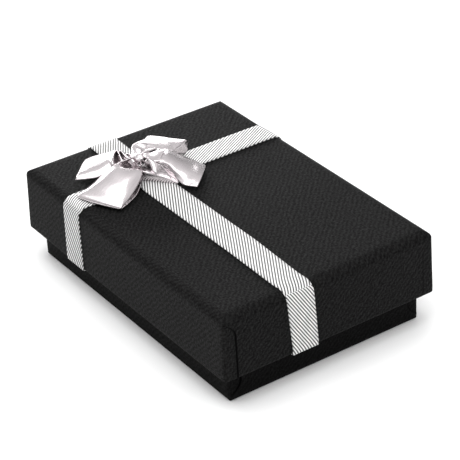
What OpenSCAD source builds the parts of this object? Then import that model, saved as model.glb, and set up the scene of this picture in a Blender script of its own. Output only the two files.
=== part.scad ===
// Two-piece rigid paperboard gift box for jewelry, with a lift-off lid, two crossing
// ribbons, a bow of metallised ribbon and a loose pad inside. Millimetres, +Z up.
// The origin is the centre of the underside of the base.

/* [Lid] */
// Outside length of the covered lid, along X
lid_x = 80; // [60:1:160]
// Outside width of the covered lid, along Y
lid_y = 55; // [45:1:120]
// Outside height of the covered lid
lid_h = 15.4; // [12:0.2:19]
// Radius of the lid's upright corners
lid_corner = 0.9; // [0.6:0.1:1.5]
// Radius of the lid's top edge
lid_edge = 2; // [1:0.1:2.2]
// Gap between the lid's inside and the base, on each side
lid_gap = 0.65; // [0.45:0.05:1.5]

/* [Base] */
// Outside height of the covered base, up to the rim that the lid rests on
base_h = 21.2; // [20:0.2:50]
// Radius of the base's upright corners
base_corner = 0.8; // [0.6:0.1:1.5]
// Radius of the base's bottom edge
base_edge = 0.7; // [0.5:0.1:1]

/* [Sheet stock] */
// Thickness of the greyboard of both trays
board = 1.2; // [0.8:0.1:2]
// Thickness of the embossed covering paper
paper = 0.2; // [0.15:0.05:0.3]
// Thickness of the lining paper inside both trays
lining = 0.15; // [0.1:0.05:0.2]
// Thickness of the paper tape that joins the board at each corner
stay = 0.08; // [0.05:0.01:0.1]
// Width of that tape on each side of its corner
stay_w = 8; // [5:0.5:12]
// How far the covering paper turns in past each rim
turn_in = 9; // [5:0.5:9.5]

/* [Insert] */
// Thickness of the card under the pad
card = 0.8; // [0.5:0.1:1.5]
// Thickness of the foam of the pad
foam = 8.4; // [6:0.2:9]
// Thickness of the flocked cloth over the pad
velvet = 0.5; // [0.3:0.1:0.8]
// Gap between the pad and the base's inside, on each side
pad_gap = 0.35; // [0.3:0.05:1]
// Length of the slit that grips a ring
ring_slit_x = 22; // [16:1:26]
// Width of every slit in the pad
slit_w = 0.9; // [0.5:0.1:1.2]
// Depth of the slits into the foam
slit_depth = 5.5; // [4:0.5:6]
// Length of the two slits that hold a chain
chain_slit = 8; // [6:0.5:10]
// Diameter of the two holes for ear posts
post_hole = 1.2; // [1:0.1:1.6]
// Distance between the ear post holes
post_pitch = 16; // [12:1:20]

/* [Ribbon] */
// Width of the woven ribbon
ribbon_w = 7.2; // [5:0.2:10]
// Thickness of the woven ribbon
ribbon = 0.25; // [0.15:0.05:0.3]
// Place of the crossing along X, from the lid's middle
cross_x = -18.8; // [-22:0.2:-10]
// Place of the crossing along Y, from the lid's middle
cross_y = -8.2; // [-12:0.2:0]
// Length of each ribbon end glued inside the lid
ribbon_end = 6; // [4:0.5:8]

/* [Bow] */
// Width of the bow's ribbon
bow_w = 12.4; // [8:0.2:13]
// Thickness of the bow's ribbon
bow_film = 0.14; // [0.1:0.02:0.18]
// Width of the bow's ribbon where it is pinched together
pinch_w = 2; // [1.6:0.1:2.4]
// Reach of the front and back loops from the knot
loop_reach = 14.4; // [11:0.2:15]
// Height of the loops
loop_h = 2.6; // [2:0.1:3.4]
// Reach of the left and right tails from the knot
tail_reach = 15.2; // [11:0.2:16]
// Diameter of the wire that ties the bow
tie_wire = 0.4; // [0.3:0.05:0.5]
// Diameter of the dab of glue under the knot
glue_d = 4; // [3:0.2:6]
// Height of that dab
glue_h = 0.5; // [0.4:0.1:0.8]

/* [Hidden] */

eps = 0.01;
arc_steps = 5;
black = "#232323";
board_grey = "#8c8579";
silver = "#d9d7d8";

// The lid's wall, from its outside to its lined or covered inside.
lid_wall = paper + board + paper;
// The base's outside, which the lid passes over.
base_x = lid_x - 2 * (lid_wall + lid_gap);
base_y = lid_y - 2 * (lid_wall + lid_gap);
base_wall = paper + board + paper;
floor_z = paper + board + lining;

// The lid rests on the base's rim with its lining.
lid_top = base_h + lining + board + paper;
lid_rim = lid_top - lid_h;
// Where the turned-in edge of each covering paper ends inside.
base_turn_z = base_h - paper - turn_in;
lid_turn_z = lid_rim + paper + turn_in;

// The insert fills the base's inside, less its gap.
pad_x = base_x - 2 * (base_wall + pad_gap);
pad_y = base_y - 2 * (base_wall + pad_gap);
card_top = floor_z + card;
foam_top = card_top + foam;
pad_top = foam_top + velvet;

// Heights in the bow: the dab of glue lies on the crossing of the ribbons.
glue_z = lid_top + 2 * ribbon;
tail_pinch_h = bow_film + 0.08;
tail_z = glue_z + glue_h + tail_pinch_h / 2;
loop_z = tail_z + 0.35;
loop_lift = 0.95;
loop_pinch_h = 0.5;
loop_low = loop_z - bow_film / 2 - 0.03;
// Distance from the knot at which a petal has its full width.
petal_full = 6;
// Directions in which the loops and the tails leave the knot.
front_turn = -79;
back_turn = 103;
left_turn = -141;
right_turn = 47;
tie_turn = -17;

// Points of a quarter circle, from angle a to angle a + 90.
function quarter(x, y, r, a) =
  [for (i = [0 : arc_steps]) [x + r * cos(a + 90 * i / arc_steps), y + r * sin(a + 90 * i / arc_steps)]];

// Outline of a rectangle with round corners, centred on the origin.
function round_rect(x, y, r) = concat(
  quarter(x / 2 - r, y / 2 - r, r, 0),
  quarter(r - x / 2, y / 2 - r, r, 90),
  quarter(r - x / 2, r - y / 2, r, 180),
  quarter(x / 2 - r, r - y / 2, r, 270)
);

// Unit normal of a path at point i, on its left side.
function left_of(p, i) =
  let (a = p[max(i - 1, 0)], b = p[min(i + 1, len(p) - 1)], d = b - a)
  [-d[1], d[0]] / norm(d);

// Outline of a strip of thickness t whose middle follows path p.
function strip(p, t) = concat(
  [for (i = [0 : len(p) - 1]) p[i] + left_of(p, i) * t / 2],
  [for (i = [len(p) - 1 : -1 : 0]) p[i] - left_of(p, i) * t / 2]
);

// A block from z = 0 up, with round upright corners and a round top edge.
module soft_block(x, y, h, corner, edge) {
  // Height and inset of each ring of points, from the foot up.
  levels = concat([[0, 0]], [for (i = [0 : arc_steps])
    let (a = 90 * i / arc_steps) [h - edge + edge * sin(a), edge * (1 - cos(a))]]);
  n = 4 * (arc_steps + 1);
  top = (len(levels) - 1) * n;
  // The upright corners sharpen to half their radius over the round edge.
  points = [for (v = levels)
    for (p = round_rect(x - 2 * v[1], y - 2 * v[1], corner * (1 - v[1] / edge / 2))) [p[0], p[1], v[0]]];
  sides = [for (k = [0 : len(levels) - 2], i = [0 : n - 1])
    let (low = k * n, high = low + n, j = (i + 1) % n) [low + i, high + i, high + j, low + j]];
  foot = [for (i = [0 : n - 1]) i];
  head = [for (i = [n - 1 : -1 : 0]) top + i];
  polyhedron(points, concat(sides, [foot, head]));
}

// The lid's outside, sunk by the given depth from its surface.
module lid_form(depth) {
  translate([0, 0, lid_rim])
    soft_block(lid_x - 2 * depth, lid_y - 2 * depth, lid_h - depth, lid_corner - depth, lid_edge - depth);
}

// The base's outside, upside down so that its bottom edge is the round one.
module base_form(depth) {
  translate([0, 0, base_h])
    mirror([0, 0, 1])
      soft_block(base_x - 2 * depth, base_y - 2 * depth, base_h - depth,
                 base_corner - depth, base_edge - depth);
}

// A centred box between two heights.
module slab(x, y, low, high) {
  translate([-x / 2, -y / 2, low]) cube([x, y, high - low]);
}

// The four corner regions in which the stay tapes lie.
module corners(x, y, low, high) {
  for (sx = [-1, 1], sy = [-1, 1])
    translate([sx * (x / 2 - stay_w / 2), sy * (y / 2 - stay_w / 2), (low + high) / 2])
      cube([stay_w + 1, stay_w + 1, high - low], center = true);
}

// ---- Base ----

// What the board tray is cut from, and what the lining and the insert go in.
module base_cavity(depth, low, high) {
  slab(base_x - 2 * depth, base_y - 2 * depth, low, high);
}

module base_board_form() {
  difference() {
    base_form(paper);
    base_cavity(0, base_h - paper, base_h + 1);
    base_cavity(paper + board, paper + board, base_h);
  }
}

module base_board() {
  color(board_grey) base_board_form();
}

module base_stay_form() {
  intersection() {
    base_form(paper - stay);
    corners(base_x, base_y, base_edge + 1, base_h - paper);
  }
}

module base_corner_stays() {
  color("tan")
  difference() {
    base_stay_form();
    base_form(paper);
  }
}

module base_wrap() {
  color(black)
  difference() {
    base_form(0);
    base_board_form();
    base_stay_form();
    base_cavity(base_wall, paper + board, base_h + 1);
    base_cavity(paper + board, paper + board, base_turn_z);
  }
}

module base_liner() {
  color("dimgray")
  difference() {
    base_cavity(paper + board, paper + board, base_turn_z);
    base_cavity(paper + board + lining, floor_z, base_h);
  }
}

// ---- Insert ----

module insert_card() {
  color("gray")
  slab(pad_x - 2 * velvet, pad_y - 2 * velvet, floor_z, card_top);
}

// The slits and post holes of the pad, down to their depth in the foam.
module pad_cuts() {
  low = foam_top - slit_depth;
  slit_h = slit_depth + velvet + 1;
  translate([-ring_slit_x / 2, -slit_w / 2, low]) cube([ring_slit_x, slit_w, slit_h]);
  for (side = [-1, 1]) {
    translate([side * (pad_x / 2 - chain_slit), pad_y / 2 - chain_slit, low + slit_h / 2])
      rotate([0, 0, -side * 45])
        cube([chain_slit, slit_w, slit_h], center = true);
    translate([side * post_pitch / 2, -pad_y / 4, low])
      cylinder(d = post_hole, h = slit_h, $fn = 24);
  }
}

module insert_foam() {
  color("whitesmoke")
  difference() {
    slab(pad_x - 2 * velvet, pad_y - 2 * velvet, card_top, foam_top);
    pad_cuts();
  }
}

module insert_velvet() {
  color("#1b1b1d")
  difference() {
    slab(pad_x, pad_y, floor_z, pad_top);
    slab(pad_x - 2 * velvet, pad_y - 2 * velvet, floor_z - 1, foam_top);
    pad_cuts();
  }
}

// ---- Lid ----

module lid_cavity(depth, low, high) {
  slab(lid_x - 2 * depth, lid_y - 2 * depth, low, high);
}

module lid_board_form() {
  difference() {
    lid_form(paper);
    lid_cavity(0, lid_rim - 1, lid_rim + paper);
    lid_cavity(paper + board, lid_rim, base_h + lining);
  }
}

module lid_board() {
  color(board_grey) lid_board_form();
}

module lid_stay_form() {
  intersection() {
    lid_form(paper - stay);
    corners(lid_x, lid_y, lid_rim + paper, lid_top - lid_edge - 1);
  }
}

module lid_corner_stays() {
  color("tan")
  difference() {
    lid_stay_form();
    lid_form(paper);
  }
}

module lid_wrap() {
  color(black)
  difference() {
    lid_form(0);
    lid_board_form();
    lid_stay_form();
    lid_cavity(lid_wall, lid_rim - 1, base_h + lining);
    lid_cavity(paper + board, lid_turn_z, base_h + lining);
  }
}

module lid_liner() {
  color("dimgray")
  difference() {
    lid_cavity(paper + board, lid_turn_z, base_h + lining);
    lid_cavity(paper + board + lining, lid_rim, base_h);
  }
}

// ---- Ribbons ----

// Section of the lid's outside across its length or width, grown by g all round.
module lid_section(l, g) {
  r = lid_edge + g;
  x = l / 2 + g;
  top = lid_top + g;
  polygon(concat(
    [[x, lid_rim - g]],
    quarter(x - r, top - r, r, 0),
    quarter(r - x, top - r, r, 90),
    [[-x, lid_rim - g]]
  ));
}

// Section of a ribbon laid over the lid, with its ends turned up inside the rim.
module ribbon_section(l) {
  inside = l - 2 * lid_wall;
  difference() {
    lid_section(l, ribbon);
    lid_section(l, 0);
    translate([-inside / 2 + ribbon, lid_rim - 1]) square([inside - 2 * ribbon, 2]);
  }
  for (side = [-1, 1])
    translate([side * (inside / 2 - ribbon / 2), lid_rim - ribbon + (ribbon_end + ribbon) / 2])
      square([ribbon, ribbon_end + ribbon], center = true);
}

module ribbon_cross() {
  color(silver)
  translate([cross_x - ribbon_w / 2, 0, 0])
    rotate([90, 0, 90])
      linear_extrude(ribbon_w)
        ribbon_section(lid_y);
}

// The long ribbon's section, which steps over the cross ribbon.
module ribbon_long_section() {
  near = cross_x - ribbon_w / 2;
  far = cross_x + ribbon_w / 2;
  ramp = 1.5;
  difference() {
    ribbon_section(lid_x);
    translate([near - ramp, lid_top - 1]) square([far - near + 2 * ramp, 2]);
  }
  polygon([
    [near - ramp, lid_top], [near, lid_top + ribbon], [far, lid_top + ribbon], [far + ramp, lid_top],
    [far + ramp, lid_top + ribbon], [far, glue_z], [near, glue_z], [near - ramp, lid_top + ribbon]
  ]);
}

module ribbon_long() {
  color(silver)
  translate([0, cross_y + ribbon_w / 2, 0])
    rotate([90, 0, 0])
      linear_extrude(ribbon_w)
        ribbon_long_section();
}

// ---- Bow ----

// Middle line of a loop, out along its underside and back over its top.
function loop_path(reach) =
  let (r = loop_h / 2, x = reach - r, low = loop_z + loop_lift, high = low + loop_h)
  concat(
    [[0, loop_z], [1.4, loop_z + 0.1], [3, low], [x, low]],
    [for (i = [1 : 2 * arc_steps - 1])
      let (a = -90 + 90 * i / arc_steps) [x + r * cos(a), low + r + r * sin(a)]],
    [[x, high], [5, high + 0.3], [2.8, high - 0.3], [1.7, low + 1], [1.3, loop_z + 0.42], [0.3, loop_z + 0.3]]
  );

// Middle line of a tail, over a low arch and down to the lid.
function tail_path(reach) =
  [[0.2, tail_z], [1.5, tail_z + 0.02], [4, tail_z + 0.35], [7, tail_z + 0.75], [10, tail_z + 0.6],
   [reach - 2, tail_z - 0.1], [reach, tail_z - 0.45]];

// Outline of a petal seen from above: pinched at the knot, full width further out.
function petal_plan(reach) =
  [[0.1, -pinch_w / 2], [1.4, -pinch_w / 2], [petal_full, -bow_w / 2], [reach + 1, -bow_w / 2],
   [reach + 1, bow_w / 2], [petal_full, bow_w / 2], [1.4, pinch_w / 2], [0.1, pinch_w / 2]];

// A petal of the bow: a bent strip, cut to the plan of the petal.
module petal(path, reach, turn) {
  rotate([0, 0, turn])
    intersection() {
      translate([0, bow_w, 0])
        rotate([90, 0, 0])
          linear_extrude(2 * bow_w)
            polygon(strip(path, bow_film));
      translate([0, 0, lid_top])
        linear_extrude(12)
          polygon(petal_plan(reach));
    }
}

// The pinched middle that joins two petals of one strip.
module pinch(low, h) {
  translate([0, 0, low]) cylinder(d = pinch_w + 0.3, h = h, $fn = 32);
}

module at_crossing() {
  translate([cross_x, cross_y, 0]) children();
}

module bow_loops() {
  color(silver)
  at_crossing() {
    petal(loop_path(loop_reach), loop_reach, front_turn);
    petal(loop_path(loop_reach), loop_reach, back_turn);
    pinch(loop_low, loop_pinch_h);
  }
}

module bow_tails() {
  color(silver)
  at_crossing() {
    petal(tail_path(tail_reach), tail_reach, left_turn);
    petal(tail_path(tail_reach), tail_reach, right_turn);
    pinch(glue_z + glue_h, tail_pinch_h);
  }
}

// A ring of wire around the pinched middle of both strips.
module tie_form() {
  low = glue_z + glue_h - eps;
  high = loop_low + loop_pinch_h + 0.1;
  wide = pinch_w + 0.8;
  at_crossing()
    rotate([0, 0, tie_turn])
      translate([0, tie_wire / 2, 0])
        rotate([90, 0, 0])
          linear_extrude(tie_wire)
            difference() {
              translate([-wide / 2 - tie_wire, low - tie_wire])
                square([wide + 2 * tie_wire, high - low + 2 * tie_wire]);
              translate([-wide / 2, low]) square([wide, high - low]);
            }
}

module bow_tie() {
  color("silver") tie_form();
}

module bow_glue() {
  color("lightyellow")
  difference() {
    at_crossing()
      translate([0, 0, glue_z])
        cylinder(d = glue_d, h = glue_h, $fn = 32);
    tie_form();
  }
}

base_board();
base_corner_stays();
base_wrap();
base_liner();
insert_card();
insert_foam();
insert_velvet();
lid_board();
lid_corner_stays();
lid_wrap();
lid_liner();
ribbon_long();
ribbon_cross();
bow_loops();
bow_tails();
bow_tie();
bow_glue();
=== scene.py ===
import math

import bmesh
import bpy
import numpy as np
from mathutils import Matrix, Vector, noise


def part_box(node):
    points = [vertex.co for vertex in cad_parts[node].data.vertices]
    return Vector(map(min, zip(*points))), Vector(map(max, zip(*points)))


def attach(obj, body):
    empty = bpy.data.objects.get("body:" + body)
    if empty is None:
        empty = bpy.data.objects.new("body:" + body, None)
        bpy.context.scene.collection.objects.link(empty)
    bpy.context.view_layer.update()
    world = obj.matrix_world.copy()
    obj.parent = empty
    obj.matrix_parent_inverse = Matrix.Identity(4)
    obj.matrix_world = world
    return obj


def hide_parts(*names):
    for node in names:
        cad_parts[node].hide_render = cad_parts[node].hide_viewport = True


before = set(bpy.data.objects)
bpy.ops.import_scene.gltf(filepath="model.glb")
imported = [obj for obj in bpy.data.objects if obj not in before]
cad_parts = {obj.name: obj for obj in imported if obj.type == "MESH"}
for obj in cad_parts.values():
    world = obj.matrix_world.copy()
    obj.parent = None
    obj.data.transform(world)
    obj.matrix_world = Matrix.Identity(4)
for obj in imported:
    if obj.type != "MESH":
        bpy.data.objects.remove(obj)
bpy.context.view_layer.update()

# Meshes are worked out in millimetres in the CAD frame and scaled to metres when they are made.
MM = 0.001


# ---- Sizes, from the frame ----

def corners_mm(node):
    low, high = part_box(node)
    return np.array(low) / MM, np.array(high) / MM


LID_LOW, LID_HIGH = corners_mm("lid_wrap")
BASE_LOW, BASE_HIGH = corners_mm("base_wrap")
LID_BOARD_TOP = corners_mm("lid_board")[1][2]
LID_LINER_RIM = corners_mm("lid_liner")[0][2]
BASE_LINER_RIM = corners_mm("base_liner")[1][2]
FOAM_LOW, FOAM_HIGH = corners_mm("insert_foam")
VELVET_LOW, VELVET_HIGH = corners_mm("insert_velvet")
LONG_LOW, LONG_HIGH = corners_mm("ribbon_long")
CROSS_LOW, CROSS_HIGH = corners_mm("ribbon_cross")
GLUE_BOTTOM = corners_mm("bow_glue")[0][2]

LID_TOP = LID_HIGH[2]
LID_RIM = LID_LOW[2]
PAPER = LID_TOP - LID_BOARD_TOP
LID_WALL = 1.6
LID_EDGE = 2.0
LID_CORNER = 0.9
BASE_EDGE = 0.7
BASE_CORNER = 0.8
RIBBON = (LONG_HIGH[0] - LONG_LOW[0] - LID_HIGH[0] + LID_LOW[0]) / 2
CROSS_X = (CROSS_LOW[0] + CROSS_HIGH[0]) / 2
CROSS_Y = (LONG_LOW[1] + LONG_HIGH[1]) / 2

# How far the covered walls of the lid lean out at the rim, and how far its top swells.
FLARE = 0.3
CROWN = 0.12
# The end flaps of the covering paper: their distance from the upright corners, their step, how
# far the step takes to rise, and the spread of the painted shade line along their edges.
SEAM_INSET = 2.9
SEAM_STEP = 0.16
SEAM_WIDTH = 0.14
SEAM_SHADE_LINE = 0.2
# The radius of the paper's fold round a rim, and how far its walls wave.
RIM_FOLD = 0.25
WALL_WAVE = 0.05
# The woven ribbons: their clearance from the lid and how far their ends go up inside it.
RIBBON_GAP = 0.04
RIBBON_TAIL = 6.0
# The bow's ribbon: its thickness.
BOW_FILM = 0.12


# ---- Mesh helpers ----

def add_object(name, data):
    obj = bpy.data.objects.new(name, data)
    bpy.context.scene.collection.objects.link(obj)
    return obj


def make_object(name, points, faces, uvs=None):
    """An object from points in millimetres. uvs holds one (u, v) in millimetres per face corner."""
    mesh = bpy.data.meshes.new(name)
    mesh.from_pydata([tuple(p) for p in np.asarray(points, float) * MM], [], faces)
    if uvs is not None:
        layer = mesh.uv_layers.new(name="UVMap")
        layer.data.foreach_set("uv", np.asarray(uvs, np.float32).ravel())
    mesh.update()
    mesh.polygons.foreach_set("use_smooth", [True] * len(mesh.polygons))
    return add_object(name, mesh)


def point_values(obj, name, values):
    """Stores one number per vertex under a name that materials can read."""
    attribute = obj.data.attributes.new(name, "FLOAT", "POINT")
    attribute.data.foreach_set("value", np.asarray(values, np.float32))


def weld(obj, distance=0.002):
    """Merges the vertices that lie on each other."""
    bm = bmesh.new()
    bm.from_mesh(obj.data)
    bmesh.ops.remove_doubles(bm, verts=bm.verts, dist=distance * MM)
    bmesh.ops.dissolve_degenerate(bm, edges=bm.edges, dist=distance * MM * 0.5)
    bm.to_mesh(obj.data)
    bm.free()


def thicken(obj, thickness, offset=-1.0):
    """Gives a surface its thickness in millimetres; offset -1 adds it behind the face."""
    solid = obj.modifiers.new("thickness", "SOLIDIFY")
    solid.thickness = thickness * MM
    solid.offset = offset
    solid.use_quality_normals = True
    solid.use_even_offset = False


def grid_faces(rows, cols, first=0, around=False):
    """Quads over rows x cols points; around closes each row on itself."""
    faces = []
    for r in range(rows - 1):
        for c in range(cols if around else cols - 1):
            d = (c + 1) % cols
            a = first + r * cols
            faces.append((a + c, a + d, a + cols + d, a + cols + c))
    return faces


def capped_faces(rows, cols):
    """Faces of a closed body: rings of points with a cap at both ends."""
    last = (rows - 1) * cols
    return grid_faces(rows, cols, around=True) + [tuple(range(cols))[::-1], tuple(range(last, last + cols))]


def grid_object(name, points, uv):
    """A sheet from rows x cols points with rows x cols (u, v) in millimetres."""
    rows, cols = points.shape[:2]
    faces = grid_faces(rows, cols)
    flat_uv = uv.reshape(-1, 2)
    return make_object(name, points.reshape(-1, 3), faces, [flat_uv[i] for f in faces for i in f])


def through(points, steps):
    """A smooth curve through the points along the first axis, with steps spans between each two."""
    p = np.asarray(points, float)
    gap = np.linalg.norm(np.diff(p, axis=0), axis=-1)
    while gap.ndim > 1:
        gap = gap.mean(-1)
    width = np.sqrt(gap + 1e-6).reshape((-1,) + (1,) * (p.ndim - 1))
    slope = np.diff(p, axis=0) / width
    tangent = np.concatenate([slope[:1], slope, slope[-1:]])[:len(p)].copy()
    for i in range(1, len(p) - 1):
        tangent[i] = (slope[i - 1] * width[i] + slope[i] * width[i - 1]) / (width[i - 1] + width[i])
    tangent[-1] = slope[-1]
    out = []
    for i in range(len(p) - 1):
        for k in range(steps):
            t = k / steps
            out.append((2 * t ** 3 - 3 * t ** 2 + 1) * p[i]
                       + (t ** 3 - 2 * t ** 2 + t) * width[i] * tangent[i]
                       + (3 * t ** 2 - 2 * t ** 3) * p[i + 1]
                       + (t ** 3 - t ** 2) * width[i] * tangent[i + 1])
    out.append(p[-1])
    return np.array(out)


def smooth_step(x, low, high):
    t = np.clip((np.asarray(x, float) - low) / (high - low), 0, 1)
    return t * t * (3 - 2 * t)


def dress(obj, material, body, replaced):
    """Gives a piece its material and the body that it rides on, and hides the CAD node that it stands for."""
    obj.data.materials.append(material)
    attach(obj, body)
    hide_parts(replaced)


# ---- Material helpers ----

class Nodes:
    """Short names for the nodes that the materials are built from."""

    def __init__(self, name, roughness=0.6, metallic=0.0, specular=0.5):
        self.material = bpy.data.materials.new(name)
        self.material.use_nodes = True
        self.tree = self.material.node_tree
        self.shader = self.tree.nodes["Principled BSDF"]
        self.shader.inputs["Roughness"].default_value = roughness
        self.shader.inputs["Metallic"].default_value = metallic
        self.shader.inputs["Specular IOR Level"].default_value = specular

    def node(self, kind, **values):
        made = self.tree.nodes.new(kind)
        for key, value in values.items():
            setattr(made, key, value)
        return made

    def link(self, source, target):
        self.tree.links.new(source, target)

    def put(self, target, value):
        if isinstance(value, bpy.types.NodeSocket):
            self.link(value, target)
        else:
            target.default_value = value

    def math(self, operation, a, b=0.0, c=0.0, clamp=False):
        made = self.node("ShaderNodeMath", operation=operation, use_clamp=clamp)
        for socket, value in zip(made.inputs, (a, b, c)):
            self.put(socket, value)
        return made.outputs[0]

    def plus(self, a, b):
        return self.math("ADD", a, b)

    def times(self, a, b, clamp=False):
        return self.math("MULTIPLY", a, b, clamp=clamp)

    def uv(self):
        """u and v in millimetres, as two sockets."""
        split = self.node("ShaderNodeSeparateXYZ")
        self.link(self.node("ShaderNodeTexCoord").outputs["UV"], split.inputs[0])
        return split.outputs[0], split.outputs[1]

    def place(self):
        """The place in the object's own frame, in millimetres."""
        scale = self.node("ShaderNodeVectorMath", operation="SCALE")
        self.link(self.node("ShaderNodeTexCoord").outputs["Object"], scale.inputs[0])
        scale.inputs["Scale"].default_value = 1 / MM
        return scale.outputs[0]

    def noise(self, vector, scale, detail=2.0, rough=0.5):
        made = self.node("ShaderNodeTexNoise")
        self.link(vector, made.inputs["Vector"])
        made.inputs["Scale"].default_value = scale
        made.inputs["Detail"].default_value = detail
        made.inputs["Roughness"].default_value = rough
        return made.outputs["Fac"]

    def vector(self, x, y, z=0.0):
        made = self.node("ShaderNodeCombineXYZ")
        for socket, value in zip(made.inputs, (x, y, z)):
            self.put(socket, value)
        return made.outputs[0]

    def wave(self, phase):
        """From 0 to 1 and back once for each whole step of phase."""
        turned = self.math("MULTIPLY", phase, 2 * math.pi)
        return self.math("MULTIPLY_ADD", self.math("SINE", turned), 0.5, 0.5)

    def along(self, u, v, across_u, across_v, pitch):
        """Phase of straight lines whose normal is (across_u, across_v), pitch apart."""
        a = self.math("MULTIPLY", u, across_u / pitch)
        return self.math("MULTIPLY_ADD", v, across_v / pitch, a)

    def read(self, name):
        return self.node("ShaderNodeAttribute", attribute_name=name).outputs["Fac"]

    def mix(self, factor, a, b):
        made = self.node("ShaderNodeMix", data_type="RGBA")
        self.put(made.inputs["Factor"], factor)
        self.put(made.inputs["A"], a)
        self.put(made.inputs["B"], b)
        return made.outputs["Result"]

    def ramp(self, factor, low, high, from_min, from_max):
        made = self.node("ShaderNodeMapRange")
        self.put(made.inputs["Value"], factor)
        made.inputs["From Min"].default_value = from_min
        made.inputs["From Max"].default_value = from_max
        made.inputs["To Min"].default_value = low
        made.inputs["To Max"].default_value = high
        return made.outputs[0]

    def bump(self, height, distance, strength=1.0, below=None):
        made = self.node("ShaderNodeBump")
        made.inputs["Distance"].default_value = distance * MM
        made.inputs["Strength"].default_value = strength
        self.link(height, made.inputs["Height"])
        if below is not None:
            self.link(below, made.inputs["Normal"])
        return made.outputs[0]

    def finish(self, color=None, normal=None, roughness=None):
        if color is not None:
            self.put(self.shader.inputs["Base Color"], color)
        if normal is not None:
            self.link(normal, self.shader.inputs["Normal"])
        if roughness is not None:
            self.put(self.shader.inputs["Roughness"], roughness)
        return self.material


def grey(level, warm=0.0):
    return (level * (1 + warm), level, level * (1 - warm), 1.0)


# ---- Materials ----

def wrap_paper(name, specular, low, high, depth):
    """Black paper with an embossed linen: uneven threads both ways and fine fibres, lighter worn edges, and a
    painted shade line along the end flaps' edges.
    """
    n = Nodes(name, roughness=0.62, specular=specular)
    u, v = n.uv()
    flat = n.vector(u, v)
    wobble = n.times(n.math("SUBTRACT", n.noise(flat, 0.5, 3.0), 0.5), 1.6)
    ribs = n.wave(n.plus(n.along(u, v, 0.7071, 0.7071, 0.98), wobble))
    warp = n.noise(n.vector(n.times(u, 3.0), n.times(v, 1.0)), 1.0, 2.0)
    weft = n.noise(n.vector(n.times(u, 1.0), n.times(v, 3.0)), 1.0, 2.0)
    fibre = n.noise(flat, 2.6, 2.0)
    height = n.plus(n.times(ribs, 0.16), n.times(warp, 0.6))
    height = n.plus(height, n.times(weft, 0.6))
    height = n.plus(height, n.times(fibre, 0.6))
    color = n.mix(n.ramp(height, 0.0, 1.0, 0.82, 1.22), low, high)
    worn = n.times(n.read("wear"), n.ramp(n.noise(n.place(), 0.9, 3.0), 0.1, 0.8, 0.35, 0.7))
    color = n.mix(n.times(worn, 0.3, clamp=True), color, grey(0.03, 0.03))
    # Painted shade: a near-black, dull line along each end flap's edge stands for the shade in the paper's
    # step.
    seam_shade = n.times(n.read("seam_shade"), 1.3, clamp=True)
    color = n.mix(seam_shade, color, grey(0.0001))
    rough = n.math("MAXIMUM", n.ramp(height, 0.7, 0.55, 0.7, 1.3), seam_shade)
    return n.finish(color, n.bump(height, depth, 1.0), rough)


def woven_ribbon():
    """Silver ribbon in a steep twill: bright threads with dark gaps, crossed where "braid" is 1."""
    n = Nodes("woven_ribbon", roughness=0.38, specular=0.5)
    u, v = n.uv()
    flat = n.vector(u, v)
    wobble = n.times(n.math("SUBTRACT", n.noise(flat, 0.5, 2.0), 0.5), 0.1)
    phase = n.plus(n.along(u, v, 0.866, 0.5, 0.595), wobble)
    twill = n.wave(phase)
    twist = n.wave(n.along(u, v, 0.5, -0.866, 0.42))
    other = n.wave(n.along(u, v, 0.866, -0.5, 0.595))
    braid = n.read("braid")
    both = n.times(twill, n.ramp(other, 0.55, 1.0, 0.0, 1.0))
    plain = n.times(twill, n.math("SUBTRACT", 1.0, braid))
    line = n.plus(plain, n.times(both, braid))
    line = n.plus(line, n.times(n.math("SUBTRACT", twist, 0.5), 0.08))
    bright = n.ramp(line, 0.0, 1.0, 0.28, 0.62)
    dark = n.mix(n.noise(flat, 1.2, 2.0), grey(0.035), grey(0.075))
    light = n.mix(n.noise(flat, 2.5, 2.0), grey(0.82, 0.01), grey(0.93, 0.0))
    color = n.mix(bright, dark, light)
    height = n.plus(line, n.times(n.noise(flat, 6.0, 2.0), 0.2))
    n.shader.inputs["Sheen Weight"].default_value = 0.15
    return n.finish(color, n.bump(height, 0.09, 0.9), n.ramp(line, 0.6, 0.34, 0.2, 0.8))


def foil_ribbon():
    """Metallised satin ribbon of the bow: one pale metal all over, with faint threads and small dents."""
    n = Nodes("foil_ribbon", roughness=0.24, metallic=1.0)
    u, v = n.uv()
    flat = n.vector(u, v)
    threads = n.wave(n.times(u, 3.2))
    streak = n.noise(n.vector(n.times(u, 2.0), n.times(v, 0.25)), 1.0, 3.0)
    dents = n.noise(flat, 0.3, 2.0)
    color = n.mix(streak, (0.68, 0.625, 0.645, 1), (0.76, 0.715, 0.73, 1))
    low = n.bump(dents, 0.5, 0.07)
    fine = n.bump(n.plus(n.times(threads, 0.5), streak), 0.012, 0.15, low)
    return n.finish(color, fine, n.ramp(streak, 0.2, 0.26, 0.2, 0.8))


def lining_paper():
    """Smooth uncoated black paper inside both trays."""
    n = Nodes("lining_paper", roughness=0.8, specular=0.2)
    place = n.place()
    fibre = n.noise(place, 3.0, 4.0, 0.65)
    cloud = n.noise(place, 0.12, 2.0)
    color = n.mix(fibre, grey(0.008), grey(0.024, 0.02))
    color = n.mix(n.times(cloud, 0.3), color, grey(0.03, 0.04))
    return n.finish(color, n.bump(fibre, 0.04, 0.6), n.ramp(cloud, 0.72, 0.88, 0.3, 0.7))


def fibre_board(name, low, high, specks):
    """Recycled board or card, with fibres and darker specks."""
    n = Nodes(name, roughness=0.9, specular=0.25)
    place = n.place()
    fibre = n.noise(place, 2.2, 5.0, 0.7)
    grain = n.noise(place, 9.0, 3.0)
    color = n.mix(fibre, low, high)
    speck = n.math("GREATER_THAN", n.noise(place, 3.4, 1.0), 0.68)
    color = n.mix(n.times(speck, specks), color, grey(0.05, 0.1))
    height = n.plus(fibre, n.times(grain, 0.5))
    return n.finish(color, n.bump(height, 0.07, 0.7), n.ramp(grain, 0.82, 0.97, 0.3, 0.7))


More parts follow.
